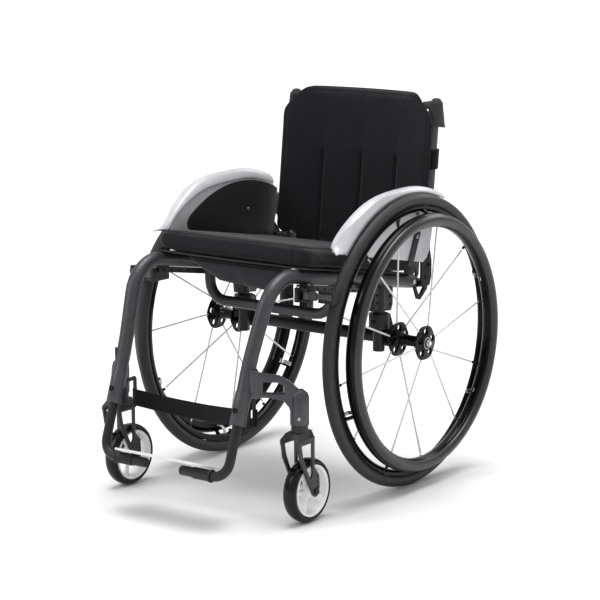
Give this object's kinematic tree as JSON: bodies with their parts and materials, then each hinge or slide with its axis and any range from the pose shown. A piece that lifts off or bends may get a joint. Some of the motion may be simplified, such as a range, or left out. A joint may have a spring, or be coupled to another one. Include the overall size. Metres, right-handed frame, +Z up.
{
  "type": "manual wheelchair",
  "caption": "Rigid-frame manual wheelchair with spoked rear wheels, hand rims, swivel castors, fold-forward backrest, side guards and a footplate.",
  "frame": {"origin": "on the floor, in the middle of the chair's footprint", "axes": "+Z up, the chair faces -Y, its right side is +X"},
  "size_m": [0.5626, 0.8174, 0.775],
  "materials": {
    "frame_paint": "satin anthracite metallic",
    "black_metal": "satin black",
    "steel": "polished",
    "silver_shell": "glossy silver paint",
    "carbon": "glossy woven carbon",
    "tyre": "matt black",
    "castor_rubber": "matt black",
    "black_plastic": "matt",
    "white_plastic": "satin white",
    "plate": "satin light grey",
    "pad_fabric": "knitted spacer fabric",
    "nylon": "woven nylon",
    "webbing": "woven webbing"
  },
  "bodies": {
    "frame": {"side_frame_R": "frame_paint", "side_frame_L": "frame_paint", "drop_tube_R": "frame_paint", "drop_tube_L": "frame_paint", "axle_clamp_R": "black_metal", "axle_clamp_L": "black_metal", "accessory_rail_R": "black_metal", "accessory_rail_L": "black_metal", "castor_arm_R": "frame_paint", "castor_arm_L": "frame_paint", "axle_pin_R": "steel", "axle_pin_L": "steel", "strap_loop_R": "black_plastic", "strap_loop_L": "black_plastic", "back_hinge_R": "black_metal", "back_hinge_L": "black_metal", "side_guard_R": "silver_shell", "side_guard_L": "silver_shell", "guard_panel_R": "carbon", "guard_panel_L": "carbon", "lock_base_R": "black_metal", "lock_base_L": "black_metal", "front_cross_tube": "frame_paint", "axle_tube": "black_metal", "calf_strap": "webbing", "seat_sling": "nylon", "seat_cushion": "pad_fabric", "seat_pouch": "nylon"},
    "wheel_right": {"tyre_R": "tyre", "rim_R": "black_metal", "hub_R": "steel", "handrim_R": "black_metal"},
    "castor_fork_right": {"castor_fork_R": "frame_paint", "castor_axle_R": "black_metal"},
    "castor_wheel_right": {"castor_tyre_R": "castor_rubber", "castor_rim_R": "white_plastic"},
    "wheel_lock_right": {"lock_arm_R": "frame_paint", "lock_shoe_R": "black_plastic"},
    "wheel_left": {"tyre_L": "tyre", "rim_L": "black_metal", "hub_L": "steel", "handrim_L": "black_metal"},
    "castor_fork_left": {"castor_fork_L": "frame_paint", "castor_axle_L": "black_metal"},
    "castor_wheel_left": {"castor_tyre_L": "castor_rubber", "castor_rim_L": "white_plastic"},
    "wheel_lock_left": {"lock_arm_L": "frame_paint", "lock_shoe_L": "black_plastic"},
    "backrest": {"back_post_R": "frame_paint", "back_post_L": "frame_paint", "post_cap_R": "nylon", "post_cap_L": "nylon", "post_strap_R": "webbing", "post_strap_L": "webbing", "back_pad": "pad_fabric"},
    "footrest": {"foot_tube_R": "black_metal", "foot_tube_L": "black_metal"},
    "footplate": {"foot_sleeve_R": "black_plastic", "foot_sleeve_L": "black_plastic", "footplate": "plate"}
  },
  "joints": [
    {"name": "wheel_spin_right", "type": "hinge", "parent": "frame", "child": "wheel_right", "pos_m": [0.233, 0.11375, 0.295], "axis": [1, 0, 0], "continuous": true},
    {"name": "wheel_spin_left", "type": "hinge", "parent": "frame", "child": "wheel_left", "pos_m": [-0.233, 0.11375, 0.295], "axis": [1, 0, 0], "continuous": true},
    {"name": "castor_swivel_right", "type": "hinge", "parent": "frame", "child": "castor_fork_right", "pos_m": [0.2236, -0.24825, 0.19], "axis": [0, 0, 1], "continuous": true},
    {"name": "castor_spin_right", "type": "hinge", "parent": "castor_fork_right", "child": "castor_wheel_right", "pos_m": [0.2236, -0.22525, 0.0625], "axis": [1, 0, 0], "continuous": true},
    {"name": "castor_swivel_left", "type": "hinge", "parent": "frame", "child": "castor_fork_left", "pos_m": [-0.2236, -0.24825, 0.19], "axis": [0, 0, 1], "continuous": true},
    {"name": "castor_spin_left", "type": "hinge", "parent": "castor_fork_left", "child": "castor_wheel_left", "pos_m": [-0.2236, -0.22525, 0.0625], "axis": [1, 0, 0], "continuous": true},
    {"name": "backrest_fold", "type": "hinge", "parent": "frame", "child": "backrest", "pos_m": [0, 0.22375, 0.451], "axis": [1, 0, 0], "range_deg": [0, 65]},
    {"name": "wheel_lock_swing_right", "type": "hinge", "parent": "frame", "child": "wheel_lock_right", "pos_m": [0.192, -0.18425, 0.429], "axis": [0, 0, 1], "range_deg": [-70, 4]},
    {"name": "wheel_lock_swing_left", "type": "hinge", "parent": "frame", "child": "wheel_lock_left", "pos_m": [-0.192, -0.18425, 0.429], "axis": [0, 0, 1], "range_deg": [-4, 70]},
    {"name": "footrest_height", "type": "slide", "parent": "frame", "child": "footrest", "axis": [0, -0.3194, -0.9476], "range_m": [-0.03, 0.04]},
    {"name": "footplate_tilt", "type": "hinge", "parent": "footrest", "child": "footplate", "pos_m": [0, -0.38065, 0.106], "axis": [1, 0, 0], "range_deg": [-15, 15]}
  ]
}
